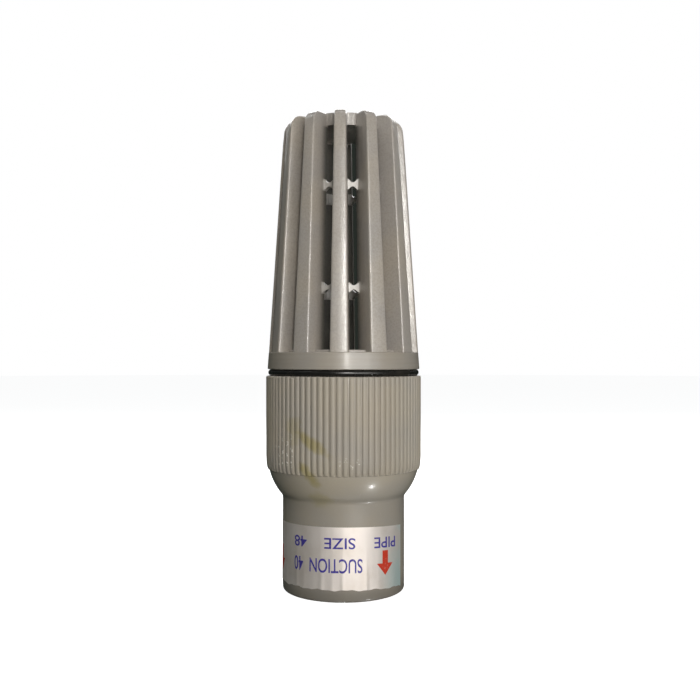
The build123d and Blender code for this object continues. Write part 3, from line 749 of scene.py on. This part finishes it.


# --------------------------------------------------------------------------------- guide and its spring
# A four-armed guide moulded in the same grey PVC drops on to the ledge above the pipe stop. A light spring of
# drawn steel wire stands on it and holds the poppet shut.
def moulded_trim(name, shade):
    """The same PVC where it is out of sight and left as moulded, with faint flow marks."""
    r = grey_pvc(name, shade, 0.42, 0.000012, 1100.0)
    flow = r.ramp(r.grain(90.0, 3, 0.6, r.stretched((1.0, 1.0, 0.25)), 1.5), 0.45, 0.75)
    r.paint(Base_Color=r.mix(r.math("MULTIPLY", flow, 0.25), r.colour, tuple(c * 0.78 for c in shade)))
    return r.material


def dress(node, material):
    """Gives a piece of the frame its finish."""
    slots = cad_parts[node].data.materials
    slots.clear()
    slots.append(material)


def steel(name, shade, fine, across):
    """Stainless steel with fine marks round it, or along it, from turning or drawing."""
    r = Recipe(name)
    marks = r.grain(fine, 3, 0.7, r.stretched(across))
    smear = r.ramp(r.grain(120.0, 3), 0.4, 0.7)
    r.paint(
        Base_Color=r.mix(r.math("MULTIPLY", smear, 0.5), shade, tuple(c * 0.72 for c in shade)),
        Metallic=1.0,
        Roughness=r.math("ADD", r.math("MULTIPLY", marks, 0.18), 0.20),
        Normal=r.bump(marks, 0.000015),
    )
    return r.material


guide_pvc = moulded_trim("grey_pvc_guide", (0.33, 0.30, 0.25))
dress("guide_spider", guide_pvc)

wire_steel = steel("drawn_wire", (0.58, 0.57, 0.55), 900.0, (1.0, 1.0, 1.0))
WIRE = 1.2
COILS = 5.5
SPRING_LOW, SPRING_HIGH = (corner.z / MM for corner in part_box("return_spring"))
COIL_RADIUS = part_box("return_spring")[1].x / MM - WIRE / 2
coil = bmesh.new()
section = arc(COIL_RADIUS, SPRING_LOW + WIRE / 2, WIRE / 2, 0, 360, 10)[:-1]
screwed(coil, section, (SPRING_HIGH - SPRING_LOW - WIRE) / COILS, COILS, 64)
spring = finished(coil, "coil_spring", "valve_body", wire_steel, "spring_steel", "return_spring")
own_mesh(spring)


# --------------------------------------------------------------------------------------- collar O-ring
# A black rubber ring, squeezed flat between the grip's mouth and the collar when the strainer is screwed home.
# It fills the gap between them all round, and its inner and outer edges stay round.
RING_LOW, RING_HIGH = (corner.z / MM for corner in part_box("collar_o_ring"))
RING_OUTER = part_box("collar_o_ring")[1].x / MM
RING_INNER = 31.45
RING_ROUND = (RING_HIGH - RING_LOW) / 2
middle = (RING_HIGH + RING_LOW) / 2
rubber_ring = bmesh.new()
spun(
    rubber_ring,
    arc(RING_OUTER - RING_ROUND, middle, RING_ROUND, -90, 90, 12)
    + arc(RING_INNER + RING_ROUND, middle, RING_ROUND, 90, 270, 12),
    160,
)
for v in rubber_ring.verts:
    turn = atan2(v.co.y, v.co.x)
    out = Vector((cos(turn), sin(turn), 0))
    v.co += out * (0.10 * sin(2 * turn + 0.7) + 0.05 * sin(5 * turn)) * MM


def black_rubber(name):
    r = Recipe(name)
    bloom = r.ramp(r.grain(85.0, 4, 0.6), 0.48, 0.78)
    moulding_lines = r.grain(420.0, 2, 0.6, r.stretched((0.2, 0.2, 6.0)))
    r.paint(
        Base_Color=r.mix(r.math("MULTIPLY", bloom, 0.5), (0.010, 0.010, 0.009), (0.040, 0.034, 0.026)),
        Roughness=r.math("ADD", r.math("MULTIPLY", bloom, 0.22), 0.24),
        Normal=r.bump(moulding_lines, 0.00003),
    )
    return r.material


ring_rubber = black_rubber("black_rubber")
finished(rubber_ring, "rubber_ring", "seal", ring_rubber, "black_rubber", "collar_o_ring")


# ---------------------------------------------------------------------------------------------- collar
# The strainer's collar is turned from a thick PVC blank: the tool leaves fine rings on its face. Its neck is
# threaded for the grip, holds the seat ring at the bottom, and takes the cage's cemented foot at the top.
COLLAR_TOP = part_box("strainer_collar")[1].z / MM
COLLAR_FOOT = BODY_TOP + 3.0
COLLAR_TAPER = 0.5
COLLAR_EDGE = 0.35
MALE_ROOT, MALE_CREST = 30.0, 31.4
SHANK_RADIUS, SHANK_LENGTH = 31.3, 0.9
NECK_BORE, SEAT_BORE, SEAT_HEIGHT = 22.0, 27.0, 6.0
NECK_CHAMFER = 0.5
SPIGOT_RADIUS, SPIGOT_DEPTH = 30.0, 6.0
# The tool's marks: a shallow one every other pass, a deeper one every eleventh, and three that catch the light.
PASSES = 58
EVERY_OTHER, EVERY_ELEVENTH, DEEP = 0.006, 0.014, 0.030
DEEP_PASSES = (45, 50, 53)
face_low, face_high = COLLAR_FOOT + COLLAR_EDGE, COLLAR_TOP - COLLAR_EDGE
turned_face = []
for i in range(PASSES + 1):
    share = i / PASSES
    z = face_low + (face_high - face_low) * share
    cut = EVERY_OTHER * (i % 2) + EVERY_ELEVENTH * (i % 11 == 4) + DEEP * (i in DEEP_PASSES)
    turned_face.append((BASE_RADIUS - COLLAR_TAPER * share - cut, z))
top_radius = BASE_RADIUS - COLLAR_TAPER
blank = bmesh.new()
spun(
    blank,
    [
        (SEAT_BORE, NECK_END),
        (MALE_ROOT - NECK_CHAMFER, NECK_END),
        (MALE_ROOT, NECK_END + NECK_CHAMFER),
        (MALE_ROOT, BODY_TOP - SHANK_LENGTH),
        (SHANK_RADIUS, BODY_TOP - SHANK_LENGTH),
        (SHANK_RADIUS, COLLAR_FOOT),
        (BASE_RADIUS - COLLAR_EDGE, COLLAR_FOOT),
    ]
    + turned_face
    + [
        (top_radius - 0.4 * COLLAR_EDGE, COLLAR_TOP - 0.1),
        (top_radius - COLLAR_EDGE, COLLAR_TOP),
        (SPIGOT_RADIUS, COLLAR_TOP),
        (SPIGOT_RADIUS, COLLAR_TOP - SPIGOT_DEPTH),
        (NECK_BORE, COLLAR_TOP - SPIGOT_DEPTH),
        (NECK_BORE, NECK_END + SEAT_HEIGHT),
        (SEAT_BORE, NECK_END + SEAT_HEIGHT),
    ],
    224,
)
threaded(blank, MALE_ROOT - THREAD_BITE, MALE_CREST, MALE_FOOT, MALE_TIP, first_turn)
r = grey_pvc("grey_pvc_turned", (0.305, 0.275, 0.236), 0.36, 0.000004, 700.0)
rings = r.grain(7.0, 3, 0.75, r.stretched((0.5, 0.5, 260.0)))
streaks = r.grain(30.0, 2, 0.5, r.stretched((1.0, 1.0, 30.0)))
r.paint(
    Base_Color=r.mix(r.ramp(streaks, 0.35, 0.7, 0.0, 0.35), r.colour, (0.255, 0.226, 0.190)),
    Roughness=r.math("ADD", r.math("MULTIPLY", rings, 0.22), 0.28),
    Normal=r.bump(rings, 0.000035, r.skin),
    Coat_Weight=0.35,
    Coat_Roughness=0.16,
)
turned_pvc = r.material
finished(blank, "turned_collar", "strainer", turned_pvc, "grey_pvc_turned", "strainer_collar")


# ------------------------------------------------------------------------------------------ cage
# The strainer's cage is a second PVC moulding with a pebbled skin: twelve deep ribs on a foot ring, a closed cap
# at the tip, and two light hoops that stop the ribs spreading, waisted midway between each two ribs.
CAGE_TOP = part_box("strainer_cage")[1].z / MM
CAGE_FOOT = COLLAR_TOP
RIBS = 12
CAGE_STEP, CAGE_TAPER = 0.6, 7.2
FOOT_DEPTH, TIP_DEPTH = 13.0, 11.2
FOOT_WIDTH, TIP_WIDTH = 8.2, 5.2
FOOT_OUTER, TIP_OUTER = BASE_RADIUS - CAGE_STEP, BASE_RADIUS - CAGE_STEP - CAGE_TAPER
FOOT_INNER, TIP_INNER = FOOT_OUTER - FOOT_DEPTH, TIP_OUTER - TIP_DEPTH
RIB_SUNK = 0.02               # the ribs' feet are sunk this much in the foot ring
SHOULDER = 5.2
LONG_EDGE, INNER_EDGE = 0.75, 0.30
CORNER = radians(50)


def cage_size(foot, tip, z):
    """A size that changes evenly from the cage's foot to its tip."""
    return foot + (tip - foot) * (z - CAGE_FOOT) / (CAGE_TOP - CAGE_FOOT)


def rounded(bm, edges, radius, segments):
    """Rounds those edges over, in millimetres."""
    bmesh.ops.bevel(
        bm,
        geom=edges,
        offset=radius * MM,
        offset_type="OFFSET",
        segments=segments,
        profile=0.5,
        affect="EDGES",
        material=-1,
    )


def corners_of(bm, chosen):
    """The sharp edges whose middle and rise, in millimetres, answer to that test."""
    found = []
    for e in bm.edges:
        if len(e.link_faces) == 2 and e.calc_face_angle(0.0) > CORNER:
            start, end = e.verts[0].co / MM, e.verts[1].co / MM
            if chosen((start + end) / 2, abs(start.z - end.z)):
                found.append(e)
    return found


# One rib: a tapered slab whose face follows the cage's round, with its shoulder and long edges rounded over.
rib = bmesh.new()
bmesh.ops.create_cube(rib, size=1.0)
across = [e for e in rib.edges if abs(e.verts[0].co.y - e.verts[1].co.y) > 0.5]
bmesh.ops.subdivide_edges(rib, edges=across, cuts=5, use_grid_fill=True)
upright = [e for e in rib.edges if abs(e.verts[0].co.z - e.verts[1].co.z) > 0.5]
bmesh.ops.subdivide_edges(rib, edges=upright, cuts=11, use_grid_fill=True)
for v in rib.verts:
    z = CAGE_FOOT - RIB_SUNK + (CAGE_TOP - CAGE_FOOT + RIB_SUNK) * (v.co.z + 0.5)
    y = v.co.y * cage_size(FOOT_WIDTH, TIP_WIDTH, z)
    outer = cage_size(FOOT_OUTER, TIP_OUTER, z)
    inner = cage_size(FOOT_INNER, TIP_INNER, z)
    x = sqrt(outer**2 - y**2) if v.co.x > 0 else inner
    v.co = Vector((x, y, z)) * MM


def outward(edge):
    """Whether an edge lies on the rib's outer face."""
    return all(v.co.x > cage_size(FOOT_OUTER, TIP_OUTER, v.co.z / MM) * MM - 0.5 * MM for v in edge.verts)


top_edge = [e for e in rib.edges if outward(e) and all(v.co.z > (CAGE_TOP - 0.1) * MM for v in e.verts)]
rounded(rib, top_edge, SHOULDER, 9)
rounded(rib, corners_of(rib, lambda middle, rise: middle.z > CAGE_FOOT + 1.0 and middle.x > 19.0), LONG_EDGE, 4)
rounded(rib, corners_of(rib, lambda middle, rise: rise > 2.0 and middle.x < 22.5), INNER_EDGE, 2)
turned(rib, -pi / 2)

# A hoop's link between two ribs: a bar with a round notch from above and from below.
HOOPS = (28.8, 75.2)
LINK_HEIGHT, LINK_DEPTH, LINK_WAIST, NOTCH = 5.0, 3.0, 1.4, 1.8
LINK_REACH = 0.82             # of the way from one rib's middle to the next
LINK_EDGE = 0.22
for hoop in HOOPS:
    z = CAGE_FOOT + hoop
    inner = cage_size(FOOT_INNER, TIP_INNER, z) + 0.05
    link = bmesh.new()
    bmesh.ops.create_cube(link, size=1.0)
    along = [e for e in link.edges if abs(e.verts[0].co.x - e.verts[1].co.x) > 0.5]
    bmesh.ops.subdivide_edges(link, edges=along, cuts=15, use_grid_fill=True)
    reach = 2 * inner * sin(pi / RIBS) * LINK_REACH
    for v in link.verts:
        x = v.co.x * reach
        bite = sqrt(max(0.0, NOTCH**2 - x**2))
        tall = max(LINK_WAIST / 2, LINK_HEIGHT / 2 - bite)
        v.co = Vector((x, -(inner * cos(pi / RIBS) + LINK_DEPTH * (0.5 + v.co.y)), z + 2 * v.co.z * tall)) * MM
    outer_rims = [e for e in link.edges if e.calc_face_angle(0.0) > radians(45)]
    rounded(link, outer_rims, LINK_EDGE, 2)
    turned(link, pi / RIBS)
    joined(rib, link)
repeated(rib, rib.verts[:] + rib.edges[:] + rib.faces[:], RIBS)

# The foot ring stands in the collar and shows a low step above it. The cap closes the tip between the ribs.
FLOOR_RISE = 1.0
spun(
    rib,
    [
        (FOOT_INNER, CAGE_FOOT - SPIGOT_DEPTH),
        (SPIGOT_RADIUS, CAGE_FOOT - SPIGOT_DEPTH),
        (SPIGOT_RADIUS, CAGE_FOOT + FLOOR_RISE - 0.4),
        (SPIGOT_RADIUS - 0.4, CAGE_FOOT + FLOOR_RISE),
        (FOOT_INNER + 0.3, CAGE_FOOT + FLOOR_RISE),
        (FOOT_INNER, CAGE_FOOT + FLOOR_RISE - 0.3),
    ],
    144,
)
CAP_THICKNESS, CAP_OVERLAP = 5.5, 1.0
CAP_FOOT = CAGE_TOP - CAP_THICKNESS
CAP_RADIUS = cage_size(FOOT_INNER, TIP_INNER, CAP_FOOT) + CAP_OVERLAP
bmesh.ops.create_cone(
    rib,
    cap_ends=True,
    segments=96,
    radius1=CAP_RADIUS * MM,
    radius2=CAP_RADIUS * MM,
    depth=CAP_THICKNESS * MM,
    matrix=Matrix.Translation((0, 0, (CAGE_TOP - CAP_THICKNESS / 2) * MM)),
)

r = grey_pvc("grey_pvc_cage", (0.362, 0.328, 0.292), 0.30, 0.000080, 1250.0)
dirt = r.ramp(r.grain(60.0, 4, 0.65, r.stretched((1.0, 1.0, 0.35))), 0.52, 0.80)
# The cap's side between the ribs is drawn from the mould dry, with pale upright drag marks.
radius, height = r.radius(), r.axis("Z")
on_cap = r.math("MULTIPLY", r.ramp(height, 0.2126, 0.2133), r.ramp(radius, 0.0188, 0.0183))
on_cap = r.math("MULTIPLY", on_cap, r.ramp(height, 0.2184, 0.2181))
drag = r.ramp(r.grain(1500.0, 3, 0.7, r.stretched((1.0, 1.0, 0.06))), 0.52, 0.66)
colour = r.mix(r.math("MULTIPLY", dirt, 0.28), r.colour, (0.270, 0.240, 0.190))
colour = r.mix(r.math("MULTIPLY", on_cap, drag), colour, (0.66, 0.63, 0.58))
# Dirt dulls and darkens the pits between the pebbles.
pits = r.ramp(r.grain(1150.0, 2, 0.6), 0.43, 0.60)
colour = r.mix(r.math("MULTIPLY", pits, 0.22), colour, (0.150, 0.135, 0.115))
# Painted shade darkens the inside of the ribs and part of the way out along their sides, and the surface there is
# made duller.
inner_shade = r.ramp(r.math("ADD", radius, r.math("MULTIPLY", height, 0.05)), 0.0328, 0.0282)
inner_shade = r.math("MULTIPLY", inner_shade, r.ramp(height, 0.2126, 0.2120))
# The hoops' faces are painted pale as a painted highlight, and the painted shade on the rib sides beside them is
# mostly taken off.
FADE = 0.3
for hoop in HOOPS:
    z = CAGE_FOOT + hoop
    low, high = z - LINK_HEIGHT / 2, z + LINK_HEIGHT / 2
    band = r.math(
        "MULTIPLY", r.ramp(height, (low - FADE) * MM, low * MM), r.ramp(height, (high + FADE) * MM, high * MM)
    )
    inner_shade = r.math("MULTIPLY", inner_shade, r.math("SUBTRACT", 1.0, r.math("MULTIPLY", band, 0.8)))
    face = cage_size(FOOT_INNER, TIP_INNER, z) + LINK_DEPTH
    hoop_highlight = r.math("MULTIPLY", band, r.ramp(radius, (face + 0.6) * MM, (face + 0.2) * MM))
    colour = r.mix(r.math("MULTIPLY", hoop_highlight, 0.75), colour, (0.640, 0.615, 0.580))
# The painted shade on the ribs and the painted highlight on the hoops go into the colour here.
r.paint(
    Base_Color=r.mix(r.math("MULTIPLY", inner_shade, 0.76), colour, (0.066, 0.068, 0.060)),
    Roughness=r.math("ADD", r.math("MULTIPLY", inner_shade, 0.25), r.dull),
    Specular_IOR_Level=r.math("SUBTRACT", 0.5, r.math("MULTIPLY", inner_shade, 0.42)),
    Coat_Weight=r.math("SUBTRACT", r.math("SUBTRACT", 0.70, r.math("MULTIPLY", pits, 0.45)), inner_shade),
    Coat_Roughness=0.14,
    Coat_Normal=r.skin,
)
finished(rib, "ribbed_cage", "strainer", r.material, "grey_pvc_cage", "strainer_cage")


# ------------------------------------------------------------------------------------ seat and poppet
# The seat ring is turned PVC on a rubber O-ring. The poppet is a moulded disc with a rubber gasket, clamped on a
# turned steel stem by a washer and a nut, and kept in its guide by a spring clip.
dress("seat_ring", turned_pvc)
dress("seat_o_ring", ring_rubber)
dress("poppet_disc", moulded_trim("grey_pvc_disc", (0.34, 0.31, 0.26)))

r = Recipe("gasket_rubber")
talc = r.ramp(r.grain(150.0, 4, 0.7), 0.50, 0.80)
weave = r.grain(2600.0, 1, 0.4)
r.paint(
    Base_Color=r.mix(r.math("MULTIPLY", talc, 0.4), (0.014, 0.014, 0.014), (0.075, 0.072, 0.068)),
    Roughness=r.math("ADD", r.math("MULTIPLY", talc, 0.2), 0.50),
    Normal=r.bump(weave, 0.00003),
)
dress("poppet_gasket", r.material)

turned_steel = steel("turned_steel", (0.62, 0.61, 0.59), 60.0, (1.0, 1.0, 40.0))
dress("gasket_retainer", turned_steel)
dress("guide_stem", turned_steel)
dress("stem_nut", steel("nut_steel", (0.60, 0.59, 0.56), 500.0, (1.0, 1.0, 1.0)))
dress("stem_clip", steel("clip_steel", (0.50, 0.50, 0.50), 700.0, (1.0, 1.0, 1.0)))
